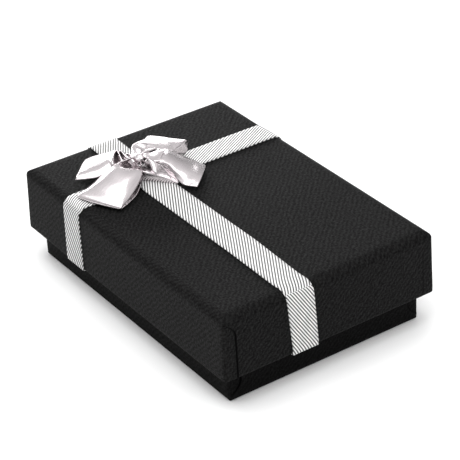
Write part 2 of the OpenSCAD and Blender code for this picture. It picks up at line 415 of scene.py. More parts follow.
def foam_cells():
    """Open fine-celled white foam."""
    n = Nodes("foam", roughness=0.95, specular=0.2)
    place = n.place()
    cells = n.node("ShaderNodeTexVoronoi", feature="F1")
    n.link(place, cells.inputs["Vector"])
    cells.inputs["Scale"].default_value = 2.6
    wide = n.noise(place, 0.3, 2.0)
    color = n.mix(cells.outputs["Distance"], grey(0.42, 0.02), grey(0.78, 0.02))
    color = n.mix(n.times(wide, 0.25), color, (0.72, 0.69, 0.6, 1))
    return n.finish(color, n.bump(cells.outputs["Distance"], 0.12, 0.8), n.ramp(wide, 0.9, 1.0, 0.3, 0.7))


def flocked_velvet():
    """Black flock with a soft nap that lightens where it turns from the eye."""
    n = Nodes("velvet", roughness=0.95, specular=0.1)
    place = n.place()
    nap = n.noise(place, 0.18, 3.0, 0.6)
    pile = n.noise(place, 7.0, 3.0)
    color = n.mix(nap, grey(0.006), grey(0.017, -0.03))
    color = n.mix(n.times(pile, 0.4), color, grey(0.028))
    n.shader.inputs["Sheen Weight"].default_value = 0.35
    n.shader.inputs["Sheen Roughness"].default_value = 0.4
    n.shader.inputs["Sheen Tint"].default_value = (0.5, 0.5, 0.54, 1)
    return n.finish(color, n.bump(pile, 0.1, 0.8), n.ramp(nap, 0.88, 1.0, 0.3, 0.7))


def drawn_wire():
    """Bright tinned wire with drawing marks."""
    n = Nodes("tie_wire", roughness=0.3, metallic=1.0)
    place = n.place()
    marks = n.noise(place, 4.0, 3.0)
    color = n.mix(marks, (0.55, 0.55, 0.57, 1), (0.82, 0.81, 0.8, 1))
    return n.finish(color, n.bump(marks, 0.02, 0.5), n.ramp(marks, 0.22, 0.42, 0.3, 0.7))


def hot_glue():
    """Cloudy hot-melt glue."""
    n = Nodes("glue", roughness=0.3, specular=0.5)
    place = n.place()
    cloud = n.noise(place, 0.9, 3.0)
    color = n.mix(cloud, (0.72, 0.66, 0.5, 1), (0.86, 0.83, 0.72, 1))
    n.shader.inputs["Subsurface Weight"].default_value = 0.2
    n.shader.inputs["Subsurface Scale"].default_value = 0.001
    return n.finish(color, n.bump(cloud, 0.15, 0.5), n.ramp(cloud, 0.22, 0.4, 0.3, 0.7))


def studio_floor():
    """Plain pale floor."""
    n = Nodes("floor", roughness=0.9, specular=0.1)
    return n.finish(n.mix(n.noise(n.place(), 0.01, 2.0), grey(0.96), grey(0.98)))


# ---- Covering papers ----

def rect_stations(half_x, half_y, fine, coarse, fine_span):
    """Places along both kinds of side: sparse on the long ones, close together near the ends' corners."""
    along_x = np.linspace(-1, 1, int(round(2 * half_x / coarse)) + 1)
    near = np.arange(0, fine_span, fine)
    plain_span = 2 * half_y - 2 * fine_span
    far = np.linspace(fine_span, 2 * half_y - fine_span, int(round(plain_span / coarse)) + 1)
    along_y = np.concatenate([near, far, 2 * half_y - near[::-1]]) / half_y - 1
    return along_x, along_y


def ring(half_x, half_y, radius, along_x, along_y, arc=5):
    """Points round a rectangle with round corners, anticlockwise from its -Y side, and their side."""
    points, sides = [], []
    turns = [(1, -1, -90), (1, 1, 0), (-1, 1, 90), (-1, -1, 180)]
    runs = [(along_x, 0), (along_y, 1), (along_x[::-1], 2), (along_y[::-1], 3)]
    for (run, side), (sx, sy, start) in zip(runs, turns):
        for t in run:
            flat_x, flat_y = half_x - radius, half_y - radius
            place = {0: (t * flat_x, -half_y), 1: (half_x, t * flat_y),
                     2: (t * flat_x, half_y), 3: (-half_x, t * flat_y)}[side]
            points.append(place)
            sides.append(side)
        for k in range(1, arc):
            a = math.radians(start + 90 * k / arc)
            points.append((sx * (half_x - radius) + radius * math.cos(a),
                           sy * (half_y - radius) + radius * math.sin(a)))
            sides.append(side if k < arc / 2 else (side + 1) % 4)
    return np.array(points), np.array(sides)


def flap_field(across, up, half, height):
    """How far a place on an end face lies inside the end flap: negative outside it, in millimetres."""
    from_corner = half - np.abs(across)
    below_top = height - up
    # The flap's edge is upright and bends out to the corner just under the lid's top edge.
    bend = np.clip((5.0 - below_top) / 3.6, 0, 1)
    inset = SEAM_INSET * (1 - bend ** 2.2)
    return from_corner - inset


def tray_levels(height, wall, turn, edge):
    """Levels of a tray's paper, from its turned-in edge round the rim and up to the panel.

    Returns (z, inset, share of the corner radius) for each, and the first that is outside."""
    fold = RIM_FOLD
    levels = [(turn, wall, 0.5), (turn * 0.5, wall, 0.5), (fold + 0.5, wall, 0.5), (fold, wall, 0.6)]
    levels += [(fold * (1 - math.sin(a)), wall - fold * (1 - math.cos(a)), 0.7)
               for a in np.radians([30, 60, 90])]
    levels += [(0.0, wall / 2, 0.8)]
    levels += [(fold * (1 - math.cos(a)), fold * (1 - math.sin(a)), 1.0)
               for a in np.radians([0, 30, 60, 90])]
    outside_start = len(levels) - 1
    low_levels = np.linspace(fold + 0.6, height - 6.0, max(3, int((height - 6.6) / 1.2)))
    high_levels = np.arange(height - 5.7, height - edge, 0.28)
    levels += [(z, 0.0, 1.0) for z in low_levels] + [(z, 0.0, 1.0) for z in high_levels]
    levels += [(height - edge * (1 - math.sin(a)), edge * (1 - math.cos(a)), 1 - math.sin(a) * 0.999)
               for a in np.radians(np.linspace(0, 90, 9))]
    return levels, outside_start


def shape_walls(rings, levels, sides, outside_start, half_x, half_y, flare):
    """Leans the walls out, raises the end flaps and adds slight waves, all in place.

    Returns how near each point is to a flap's edge, from 0 to 1: the mask of the painted shade line there."""
    height = levels[-1][0]
    rows, cols = rings.shape[:2]
    outward = np.array([(0, -1), (1, 0), (0, 1), (-1, 0)], float)[sides]
    ends = (sides == 1) | (sides == 3)
    seam_shade = np.zeros((rows, cols))
    for r in range(rows):
        z = levels[r][0]
        lean = flare * (1 - z / height)
        rings[r, :, 0] *= 1 + lean / half_x
        rings[r, :, 1] *= 1 + lean / half_y
        if r < outside_start:
            continue
        field = flap_field(rings[r, :, 1], z, half_y, height)
        over = smooth_step(field, -SEAM_WIDTH / 2, SEAM_WIDTH / 2) * ends
        fade = smooth_step(z, height, height - 1.4)
        rings[r, :, :2] += outward * (over * SEAM_STEP * fade)[:, None]
        # Painted shade: the near-black line along each flap's edge stands for the shade in its step.
        seam_shade[r] = np.exp(-(field / SEAM_SHADE_LINE) ** 2) * ends * fade
    for r in range(outside_start, rows):
        for c in range(cols):
            x, y, z = rings[r, c]
            gentle = noise.noise(Vector((x, y, z)) * 0.09 + Vector((half_x, 3.0, 7.0)))
            share = float(smooth_step(z, height, height - 3.0)) * float(smooth_step(z, 0.0, 1.5))
            rings[r, c, :2] += outward[c] * (1 + gentle) * WALL_WAVE * share
    return seam_shade


def wall_uvs(flat, faces, sides, drop, half_x, half_y):
    """Places on the unfolded paper; drop is how far each level is from the panel."""
    cols = len(sides)
    uvs = []
    for f in faces:
        side = sides[(f[0] % cols + 1) % cols]
        for i in f:
            x, y, _ = flat[i]
            reach = drop[i // cols]
            uvs.append([(x, half_y + reach), (half_x + reach, y),
                        (x, -half_y - reach), (-half_x - reach, y)][side])
    return uvs


def tray_panel(along_x, along_y, panel_x, panel_y, height, crown):
    """The panel as a grid whose border is the last ring, with a slight crown and waves."""
    panel = np.array([[(s * panel_x, t * panel_y, height) for s in along_x] for t in along_y])
    bulge = crown * (1 - (panel[..., 0] / panel_x) ** 2) * (1 - (panel[..., 1] / panel_y) ** 2)
    for j in range(1, len(along_y) - 1):
        for i in range(1, len(along_x) - 1):
            x, y, _ = panel[j, i]
            share = min(1, 4 * bulge[j, i] / max(crown, 0.01))
            bulge[j, i] += 0.05 * noise.noise(Vector((x, y, 0)) * 0.06) * share
    panel[..., 2] += bulge
    return panel


def edge_wear(points, half_x, half_y, height):
    """How worn the paper is, from 0 to 1: most on the upright corners, the top edge and the rim."""
    level_z = points[:, 2]
    edge_x = half_x - np.abs(points[:, 0])
    edge_y = half_y - np.abs(points[:, 1])
    to_top = np.abs(height - level_z)
    upright = np.exp(-((np.hypot(edge_x, edge_y)) / 0.9) ** 2)
    from_edge = np.minimum(np.hypot(edge_x, to_top), np.hypot(edge_y, to_top))
    top_edge = np.exp(-((from_edge - 0.8) / 0.7) ** 2)
    rim = np.exp(-(level_z / 0.35) ** 2)
    return np.clip(0.5 * upright + 0.3 * top_edge + 0.5 * rim, 0, 1)


def wrapped_tray(half_x, half_y, height, wall, turn, edge, corner, flare, crown):
    """The covering paper of a tray that opens at z = 0 and has its panel at z = height.

    Rings of points run from the turned-in edge inside, round the rim, up the outside, round the
    panel's edge and end in a grid over the panel. Returns points, faces, corner uvs and attributes."""
    along_x, along_y = rect_stations(half_x, half_y, 0.16, 1.6, 4.0)
    levels, outside_start = tray_levels(height, wall, turn, edge)
    rings = []
    for z, inset, round_share in levels:
        radius = max(corner * round_share, 0.001)
        outline, sides = ring(half_x - inset, half_y - inset, radius, along_x, along_y)
        rings.append(np.column_stack([outline, np.full(len(outline), z)]))
    rings = np.array(rings)
    rows, cols = rings.shape[:2]
    steps = np.array([math.hypot(a[0] - b[0], a[1] - b[1]) for a, b in zip(levels, levels[1:])])
    drop = np.concatenate([np.cumsum(steps[::-1])[::-1], [0.0]])
    seam_shade = shape_walls(rings, levels, sides, outside_start, half_x, half_y, flare)
    flat = rings.reshape(-1, 3)
    faces = grid_faces(rows, cols, around=True)
    uvs = wall_uvs(flat, faces, sides, drop, half_x, half_y)
    panel = tray_panel(along_x, along_y, half_x - edge, half_y - edge, height, crown).reshape(-1, 3)
    panel_faces = grid_faces(len(along_y), len(along_x), len(flat))
    uvs += [tuple(panel[i - len(flat)][:2]) for f in panel_faces for i in f]
    points = np.concatenate([flat, panel])
    seam_shades = np.concatenate([seam_shade.ravel(), np.zeros(len(panel))])
    # Values for the painted shade line along the end flaps' edges, and for the wear.
    values = {"seam_shade": seam_shades, "wear": edge_wear(points, half_x, half_y, height)}
    return points, faces + panel_faces, uvs, values


def make_wrap(name, replaced, body, material, turn_over, low, high, **sizes):
    """The covering paper of the tray between two corners; turn_over is for a tray that opens upward."""
    half_x, half_y = (high[0] - low[0]) / 2, (high[1] - low[1]) / 2
    height = high[2] - low[2]
    points, faces, uvs, values = wrapped_tray(half_x, half_y, height, **sizes)
    if turn_over:
        points[:, 2] = high[2] - points[:, 2]
        points[:, 0] *= -1
    else:
        points[:, 2] += low[2]
    obj = make_object(name, points, faces, uvs)
    for key, data in values.items():
        point_values(obj, key, data)
    weld(obj)
    thicken(obj, PAPER * 0.7)
    dress(obj, material, body, replaced)


# ---- Woven ribbons ----

def ribbon_section(half, z_low, z_high, edge, wall, tail, gap):
    """Path of a ribbon's inner face across the lid, from one tail inside the rim to the other.

    Returns (place along the half, z, side), where side is 0 on top and 1 on the walls."""
    inside = half - wall - gap
    left = [(-inside, z_low + tail, 1), (-inside, z_low + tail * 0.5, 1), (-inside, z_low + 0.4, 1),
            (-inside - 0.12, z_low - gap * 0.6, 1), (-inside - 0.6, z_low - gap, 1),
            (-half + 0.5, z_low - gap, 1), (-half - gap * 0.6, z_low - gap * 0.5, 1),
            (-half - gap, z_low + 0.5, 1)]
    left += [(-half - gap, z, 1) for z in np.linspace(z_low + 1.5, z_high - edge, 10)]
    for a in np.radians(np.linspace(8, 90, 12)):
        left.append((-half - gap + (edge + gap) * (1 - math.cos(a)),
                     z_high + gap - (edge + gap) * (1 - math.sin(a)), 1 if a < math.radians(45) else 0))
    right = [(-x, z, side) for x, z, side in reversed(left)]
    top_line = np.linspace(left[-1][0], -left[-1][0], int(2 * half / 1.2))
    middle = [(x, z_high + gap, 0) for x in top_line[1:-1]]
    return left + middle + right


def lid_swell(x, y, z):
    """Shift of the lid's surface from its plain box: outward on the walls and upward on the top."""
    half_x, half_y = LID_HIGH[0], LID_HIGH[1]
    height = LID_TOP - LID_RIM
    lean = FLARE * (1 - np.clip((z - LID_RIM) / height, 0, 1))
    px, py = half_x - LID_EDGE, half_y - LID_EDGE
    crown = CROWN * np.clip(1 - (x / px) ** 2, 0, 1) * np.clip(1 - (y / py) ** 2, 0, 1)
    return lean, crown


# Where a ribbon strays from its straight course: (length from the middle of its run, shift, width).
LONG_SLACK = ((-42, 1.2, 6.9), (-39, 1.1, 7.0), (-19, 0.0, 7.2), (20, 0.0, 7.2), (36, -0.4, 6.8),
              (41, 0.0, 6.9), (53, 0.8, 6.6))
CROSS_SLACK = ((-40, -0.1, 6.9), (-29, -0.4, 6.4), (-24, -0.1, 7.0), (0, 0.0, 7.2), (30, 0.0, 7.2))


def make_ribbon(name, replaced, along_axis, centre, slack, half, steps_over=None):
    """A ribbon round the lid; along_axis is 0 for X and 1 for Y, steps_over the span that it climbs."""
    path = ribbon_section(half, LID_RIM, LID_TOP, LID_EDGE, LID_WALL, RIBBON_TAIL, RIBBON_GAP)
    across = np.linspace(-1, 1, 9)
    points = np.zeros((len(path), len(across), 3))
    uv = np.zeros((len(path), len(across), 2))
    braid = np.zeros((len(path), len(across)))
    steps = [math.hypot(b[0] - a[0], b[1] - a[1]) for a, b in zip(path, path[1:])]
    travel = np.concatenate([[0], np.cumsum(steps)])
    travel -= travel[-1] / 2
    lengths, shifts, widths = zip(*slack)
    for i, (s, z, side) in enumerate(path):
        middle = centre + np.interp(travel[i], lengths, shifts)
        half_width = np.interp(travel[i], lengths, widths) / 2
        for j, share in enumerate(across):
            w = share * half_width
            x, y = (s, middle + w) if along_axis == 0 else (middle + w, s)
            lean, crown = lid_swell(x, y, z)
            outside = abs(s) > half - LID_EDGE
            lift = crown + 0.02
            if steps_over is not None and side == 0:
                near = smooth_step(s, steps_over[0] - 1.6, steps_over[0] - 0.2)
                far = 1 - smooth_step(s, steps_over[1] + 0.2, steps_over[1] + 1.6)
                lift += (RIBBON + 0.05) * near * far
            shift = math.copysign(lean, s) if abs(s) > half - LID_WALL - 1 else 0.0
            if along_axis == 0 and outside:
                shift += math.copysign(SEAM_STEP * smooth_step(z, LID_TOP, LID_TOP - 1.4), s)
            ripple = 0.03 * noise.noise(Vector((x, y, z)) * 0.25)
            slight = 0.03 * share ** 4
            place = [0, 0, 0]
            place[along_axis] = s + shift + (math.copysign(slight + ripple, s) if outside else 0)
            place[1 - along_axis] = middle + w
            place[2] = z + (lift + slight + ripple if not outside else crown)
            points[i, j] = place
            uv[i, j] = (w if side == 0 else -w, travel[i])
            braid[i, j] = 1.0 if side == 1 and along_axis == 1 else 0.0
    if along_axis == 0:
        points = points[:, ::-1]
        uv = uv[:, ::-1]
    obj = grid_object(name, points, uv)
    sides = [side for _, _, side in path]
    fix_mirrored_uvs(obj, uv, sides, len(across))
    point_values(obj, "braid", braid.ravel())
    thicken(obj, RIBBON - 0.03, 1.0)
    dress(obj, RIBBON_MATERIAL, "lid", replaced)


def fix_mirrored_uvs(obj, uv, sides, cols):
    """Gives every quad the mirror sense of its first row, so that no quad spans both senses."""
    layer = obj.data.uv_layers["UVMap"]
    data = []
    for polygon in obj.data.polygons:
        rows = [i // cols for i in polygon.vertices]
        first = min(rows)
        for i in polygon.vertices:
            row, col = i // cols, i % cols
            u, v = uv[row, col]
            if sides[row] != sides[first]:
                u = -u
            data += [u, v]
    layer.data.foreach_set("uv", np.array(data, np.float32))


# ---- Bow ----

# The bow's folds as control points, in millimetres from the ribbons' crossing: x, y and the height
# above the lid. Each row runs across the ribbon, and the rows follow it from the knot outward.
FRONT_LOOP = (
    ((-2.0, -0.9, 5.0), (-1.9, -0.5, 4.6), (-1.7, -0.2, 4.4), (-1.4, 0.0, 4.6), (-1.0, 0.0, 5.0)),
    ((-2.6, -4.0, 4.6), (-3.2, -2.4, 2.9), (-3.2, -1.2, 2.1), (-2.0, -0.6, 2.5), (-0.4, -0.4, 4.0)),
    ((-3.0, -5.4, 4.3), (-1.6, -5.0, 4.0), (-0.3, -3.6, 3.7), (0.8, -2.2, 3.6), (1.0, -1.0, 3.3)),
    ((-3.1, -5.8, 4.1), (-0.9, -5.8, 4.2), (0.7, -4.4, 4.0), (1.8, -2.8, 3.8), (2.1, -1.7, 3.4)),
    ((-3.4, -7.0, 3.4), (-1.2, -7.4, 4.0), (2.0, -6.6, 4.1), (3.4, -4.8, 3.8), (3.5, -2.7, 3.1)),
    ((-3.2, -9.5, 2.4), (-0.9, -9.9, 3.2), (3.0, -9.2, 3.5), (5.0, -7.3, 3.3), (5.1, -4.6, 2.5)),
    ((-2.5, -13.2, 1.3), (-0.6, -13.4, 2.1), (4.1, -12.2, 2.4), (6.9, -9.6, 2.2), (7.4, -8.3, 1.6)),
    ((-1.9, -16.4, 0.9), (-0.5, -16.6, 1.2), (4.8, -14.9, 1.3), (9.1, -12.4, 1.1), (9.4, -12.0, 0.8)),
    ((-1.8, -16.7, 0.7), (-0.4, -16.9, 0.8), (4.7, -15.1, 0.7), (9.0, -12.7, 0.6), (9.4, -12.2, 0.6)),
    ((-1.9, -16.2, 0.5), (-0.6, -16.3, 0.4), (4.4, -14.6, 0.4), (8.6, -12.2, 0.4), (9.1, -11.7, 0.5)),
    ((-2.4, -10.5, 0.5), (0.0, -10.0, 0.5), (2.8, -9.0, 0.5), (5.2, -7.4, 0.5), (6.2, -6.2, 0.5)),
    ((-2.0, -4.6, 0.8), (-1.2, -4.0, 0.8), (0.0, -3.4, 0.8), (1.0, -2.6, 0.8), (1.8, -2.0, 0.8)),
    ((-1.3, -0.8, 1.8), (-1.1, -0.7, 1.8), (-0.9, -0.6, 1.8), (-0.7, -0.6, 1.8), (-0.5, -0.6, 1.8)),
)
BACK_LOOP = (
    ((-2.3, 0.3, 5.0), (-2.2, 0.5, 4.7), (-2.0, 0.7, 4.5), (-1.8, 0.8, 4.7), (-1.6, 0.9, 5.0)),
    ((-7.4, 2.1, 4.6), (-6.6, 3.0, 4.1), (-5.4, 3.9, 3.9), (-4.0, 4.4, 4.1), (-2.6, 4.6, 4.5)),
    ((-8.6, 3.7, 4.2), (-7.3, 5.0, 4.2), (-5.5, 5.5, 4.3), (-3.4, 6.0, 4.3), (-1.9, 6.6, 4.2)),
    ((-9.6, 6.4, 3.6), (-7.7, 7.0, 3.9), (-5.4, 7.2, 4.2), (-3.1, 7.4, 4.2), (-1.4, 7.5, 4.0)),
    ((-11.0, 8.3, 3.2), (-8.3, 8.6, 3.7), (-5.6, 8.6, 4.0), (-2.9, 8.5, 4.0), (-1.1, 8.1, 3.7)),
    ((-8.8, 10.6, 3.1), (-6.5, 10.3, 3.6), (-4.4, 10.0, 3.8), (-2.4, 9.4, 3.7), (-0.9, 8.5, 3.5)),
    ((-6.6, 12.3, 3.0), (-5.0, 11.8, 3.4), (-3.4, 11.0, 3.6), (-1.9, 9.9, 3.5), (-1.0, 8.8, 3.3)),
    ((-4.3, 14.2, 2.9), (-3.4, 12.8, 3.2), (-2.5, 11.4, 3.3), (-1.8, 10.2, 3.2), (-1.1, 9.0, 3.1)),
    ((-4.4, 14.7, 2.3), (-3.3, 13.3, 2.4), (-2.5, 12.0, 2.5), (-1.9, 10.8, 2.5), (-1.4, 9.4, 2.7)),
    ((-4.6, 15.1, 1.5), (-3.4, 14.0, 1.4), (-2.8, 13.0, 1.3), (-2.1, 11.6, 1.5), (-1.8, 10.2, 2.0)),
    ((-4.2, 14.5, 0.9), (-3.2, 13.5, 0.7), (-2.8, 12.6, 0.6), (-2.6, 11.8, 0.8), (-2.6, 10.9, 1.2)),
    ((-8.0, 9.6, 0.7), (-6.4, 9.0, 0.6), (-4.8, 8.4, 0.6), (-3.4, 7.8, 0.6), (-2.4, 7.2, 0.7)),
    ((-5.5, 4.0, 0.8), (-4.6, 4.0, 0.7), (-3.6, 3.8, 0.7), (-2.8, 3.6, 0.7), (-2.0, 3.4, 0.8)),
    ((-1.5, 0.2, 1.8), (-1.3, 0.3, 1.8), (-1.1, 0.4, 1.8), (-0.9, 0.4, 1.8), (-0.7, 0.3, 1.8)),
)
BACK_PLEAT = (
    ((-2.3, 0.0, 4.9), (-2.2, 0.1, 5.1), (-2.1, 0.3, 5.2), (-2.0, 0.5, 5.1), (-1.9, 0.7, 5.0)),
    ((-3.7, -0.3, 4.5), (-4.3, 0.5, 4.9), (-4.9, 1.7, 4.7), (-4.7, 2.6, 4.4), (-4.0, 2.9, 4.2)),
    ((-5.3, 0.1, 4.2), (-6.7, 1.1, 4.7), (-7.1, 2.2, 5.0), (-6.3, 3.4, 5.0), (-5.6, 4.7, 4.6)),
)
LEFT_TAIL = (
    ((-3.4, -0.4, 4.5), (-3.1, -0.5, 4.6), (-2.8, -0.6, 4.7), (-2.5, -0.7, 4.7), (-2.3, -0.8, 4.6)),
    ((-8.6, 0.3, 2.6), (-7.8, 0.5, 2.4), (-7.0, 0.3, 2.6), (-5.9, -0.1, 3.0), (-4.8, -0.6, 3.4)),
    ((-8.3, -0.9, 3.7), (-6.6, -1.3, 3.8), (-5.1, -1.6, 4.0), (-4.1, -1.9, 4.1), (-3.6, -1.9, 4.2)),
    ((-10.2, -0.1, 2.6), (-9.2, -0.2, 2.2), (-8.0, -0.5, 2.2), (-6.6, -1.0, 2.4), (-5.0, -1.7, 3.0)),
    ((-9.2, -1.4, 3.6), (-7.4, -2.0, 3.7), (-5.6, -2.7, 3.8), (-4.4, -3.2, 3.9), (-3.7, -3.4, 4.0)),
    ((-10.8, -0.4, 2.6), (-9.5, -0.9, 2.2), (-8.2, -1.4, 2.0), (-6.6, -2.1, 2.2), (-5.3, -2.9, 2.6)),
    ((-10.1, -1.2, 3.2), (-8.0, -2.6, 3.3), (-6.4, -3.6, 3.2), (-5.2, -4.1, 3.1), (-4.3, -4.3, 3.1)),
    ((-10.0, -1.7, 3.4), (-6.8, -4.0, 4.2), (-4.6, -5.4, 4.4), (-3.7, -5.8, 4.0), (-3.5, -5.6, 3.3)),
    ((-10.4, -2.1, 3.1), (-7.9, -4.2, 3.8), (-5.9, -5.6, 4.0), (-4.4, -6.4, 3.7), (-3.5, -6.6, 3.0)),
    ((-12.4, -4.1, 2.1), (-9.2, -6.2, 3.0), (-6.5, -8.0, 3.2), (-4.7, -9.1, 2.9), (-3.8, -9.7, 2.0)),
    ((-13.9, -5.9, 1.3), (-11.0, -7.8, 2.1), (-8.0, -9.8, 2.5), (-6.3, -11.0, 2.3), (-5.5, -11.8, 1.5)),
    ((-14.9, -6.7, 0.6), (-12.3, -9.1, 1.3), (-9.7, -11.3, 1.7), (-8.3, -12.8, 1.6), (-7.6, -13.8, 1.0)),
)
RIGHT_TAIL = (
    ((-2.0, 0.8, 5.0), (-1.7, 0.8, 5.1), (-1.4, 0.7, 5.0), (-1.2, 0.6, 4.8), (-1.0, 0.4, 4.6)),
    ((-1.8, 3.1, 4.7), (-0.2, 2.4, 4.9), (0.6, 2.0, 4.7), (1.3, 1.8, 4.6), (1.7, 1.5, 4.2)),
    ((-1.3, 7.0, 4.3), (1.0, 5.2, 4.9), (2.6, 3.9, 5.0), (3.5, 2.8, 4.9), (3.7, 2.3, 4.4)),
    ((-0.1, 8.6, 3.4), (2.3, 6.7, 4.1), (4.0, 5.0, 4.3), (4.7, 3.9, 4.1), (4.5, 3.4, 3.6)),
    ((1.0, 10.2, 2.3), (4.1, 7.6, 3.2), (5.9, 5.6, 3.3), (6.7, 4.4, 3.0), (6.2, 3.9, 2.6)),
    ((2.5, 11.9, 1.4), (5.8, 8.9, 2.3), (8.1, 6.6, 2.5), (8.6, 5.0, 2.2), (7.7, 3.9, 1.5)),
    ((3.8, 12.7, 0.9), (7.5, 9.8, 1.9), (10.0, 7.3, 2.2), (11.1, 5.4, 1.9), (10.5, 4.0, 1.3)),
    ((5.1, 13.4, 0.5), (8.2, 10.8, 1.4), (10.5, 8.7, 1.8), (11.9, 7.1, 1.6), (12.7, 5.9, 1.1)),
)
# The fold under the right tail hangs from its edge, dips, and drops steeply in front, so that its
# steep faces mirror the dark lid.
RIGHT_UNDER = (
    ((-1.4, -0.2, 4.4), (1.2, 0.5, 4.4), (2.8, 1.2, 4.3), (3.5, 2.5, 4.1), (4.8, 3.5, 3.4), (6.2, 4.1, 2.2),
     (7.8, 4.1, 0.8)),
    ((-1.3, -0.4, 2.9), (1.3, 0.3, 2.6), (2.9, 1.0, 2.4), (3.7, 2.3, 2.2), (4.9, 3.3, 1.7), (6.3, 3.9, 1.2),
     (7.8, 4.1, 0.7)),
    ((-0.3, -1.6, 2.2), (1.8, -0.6, 1.8), (3.2, 0.4, 1.6), (4.2, 1.6, 1.5), (5.4, 2.8, 1.2), (6.5, 3.6, 0.9),
     (7.8, 4.0, 0.6)),
    ((0.7, -2.7, 3.7), (2.3, -1.5, 3.2), (3.5, -0.3, 2.8), (4.7, 1.0, 2.3), (5.9, 2.2, 1.7), (6.8, 3.1, 1.1),
     (7.8, 4.0, 0.6)),
    ((0.8, -2.9, 2.1), (2.3, -1.7, 1.8), (3.5, -0.5, 1.6), (4.7, 0.8, 1.3), (5.9, 2.1, 1.0), (6.8, 3.1, 0.7),
     (7.8, 3.9, 0.5)),
    ((0.6, -2.7, 0.9), (2.0, -1.5, 0.7), (3.2, -0.3, 0.6), (4.5, 1.0, 0.5), (5.8, 2.2, 0.4), (6.7, 3.1, 0.4),
     (7.8, 3.9, 0.4)),
)
# Pointed pleats that stand out of the knot.
PLEATS = (
    (((-1.6, 1.0, 5.2), (-1.3, 0.8, 5.4), (-0.9, 0.4, 5.1)),
     ((-0.1, 3.3, 5.3), (0.6, 2.4, 4.9), (2.0, 1.2, 4.8)),
     ((0.0, 6.1, 5.2), (1.6, 4.1, 5.2), (3.1, 2.0, 4.8))),
    (((-1.2, 0.4, 5.2), (-1.0, 0.2, 5.3), (-0.8, 0.2, 5.0)),
     ((1.2, 0.4, 4.9), (2.2, 0.8, 5.0), (2.8, 1.7, 4.6)),
     ((4.5, -0.3, 3.5), (5.1, 0.0, 3.5), (5.2, 0.3, 3.3))),
    (((-1.9, 0.4, 5.3), (-1.7, 0.7, 5.5), (-1.5, 0.9, 5.3)),
     ((-2.8, 2.1, 5.0), (-2.3, 2.4, 5.2), (-1.9, 2.5, 5.0)),
     ((-3.1, 5.1, 4.6), (-2.8, 5.2, 4.7), (-2.5, 5.3, 4.6))),
)
# The gathered middle, and the crumpled end of the ribbon inside the front loop.
KNOT = (
    ((-3.6, -0.8, 4.6), (-3.1, -0.1, 5.0), (-2.8, 0.9, 4.7)),
    ((-2.3, -1.2, 4.7), (-1.9, -0.1, 5.4), (-1.7, 1.3, 4.9)),
    ((-1.2, -1.4, 4.7), (-0.9, -0.2, 5.4), (-0.9, 1.0, 5.0)),
    ((-0.3, -1.0, 4.4), (-0.1, -0.2, 4.9), (-0.1, 0.6, 4.7)),
)
KNOB = (
    ((-2.2, -2.9, 4.0), (-1.9, -2.3, 4.5), (-1.7, -1.8, 4.1)),
    ((-1.5, -2.8, 4.1), (-1.4, -2.1, 4.9), (-1.2, -1.6, 4.4)),
    ((-0.8, -2.7, 3.9), (-0.6, -2.1, 4.6), (-0.6, -1.6, 4.1)),
)
# The pale streak down the fold under the right tail.
STREAK = (
    ((4.3, 1.8, 4.3), (4.5, 1.9, 4.4), (4.7, 2.1, 4.3)),
    ((5.3, 2.2, 3.0), (5.5, 2.3, 3.1), (5.7, 2.5, 3.0)),
    ((6.3, 2.9, 1.5), (6.4, 3.1, 1.5), (6.5, 3.2, 1.4)),
)


def fold_surface(rows, steps_along=8, steps_across=6):
    """A smooth surface through rows of control points, in its place on the lid."""
    grid = through(np.array(rows, float), steps_along)
    grid = through(grid.swapaxes(0, 1), steps_across).swapaxes(0, 1)
    return grid + np.array([CROSS_X, CROSS_Y, LID_TOP])


def surface_uv(grid):
    """Lengths across and along a surface, in millimetres."""
    along = np.linalg.norm(np.diff(grid, axis=0), axis=-1).mean(1)
    travel = np.concatenate([[0], np.cumsum(along)])
    width = np.linalg.norm(np.diff(grid, axis=1), axis=-1)
    across = np.concatenate([np.zeros((len(grid), 1)), np.cumsum(width, axis=1)], axis=1)
    across -= across[:, -1:] / 2
    return np.stack([across, np.repeat(travel[:, None], grid.shape[1], 1)], -1)


def join_grids(name, grids):
    """One object from several surfaces."""
    points, faces, uvs = [], [], []
    for grid in grids:
        rows, cols = grid.shape[:2]
        own = grid_faces(rows, cols, len(points))
        uv = surface_uv(grid).reshape(-1, 2)
        uvs += [uv[i - len(points)] for f in own for i in f]
        points += list(grid.reshape(-1, 3))
        faces += own
    return make_object(name, np.array(points), faces, uvs)


def make_foil(name, replaced, folds):
    """One strip of the bow's ribbon from its folds."""
    obj = join_grids(name, [fold_surface(rows) for rows in folds])
    thicken(obj, BOW_FILM, 0.0)
    dress(obj, FOIL_MATERIAL, "lid", replaced)


def make_bow():
    loops = [FRONT_LOOP, BACK_LOOP, BACK_PLEAT, KNOT, KNOB]
    tails = [LEFT_TAIL, RIGHT_TAIL, RIGHT_UNDER, STREAK, *PLEATS]
    make_foil("bow_loops_foil", "bow_loops", loops)
    make_foil("bow_tails_foil", "bow_tails", tails)


# ---- Tie and glue ----

def tube(name, path, radius, sides=8):
    """A closed tube along a path in millimetres."""
    path = np.asarray(path, float)
    points = []
    tangent = np.gradient(path, axis=0)
    tangent /= np.linalg.norm(tangent, axis=1)[:, None]
    side = np.cross(tangent[0], (0.3, 0.2, 1.0))
    for p, t in zip(path, tangent):
        side = side - t * np.dot(side, t)
        side /= np.linalg.norm(side)
        up = np.cross(t, side)
        for k in range(sides):
            a = 2 * math.pi * k / sides
            points.append(p + radius * (math.cos(a) * side + math.sin(a) * up))
    return make_object(name, points, capped_faces(len(path), sides))


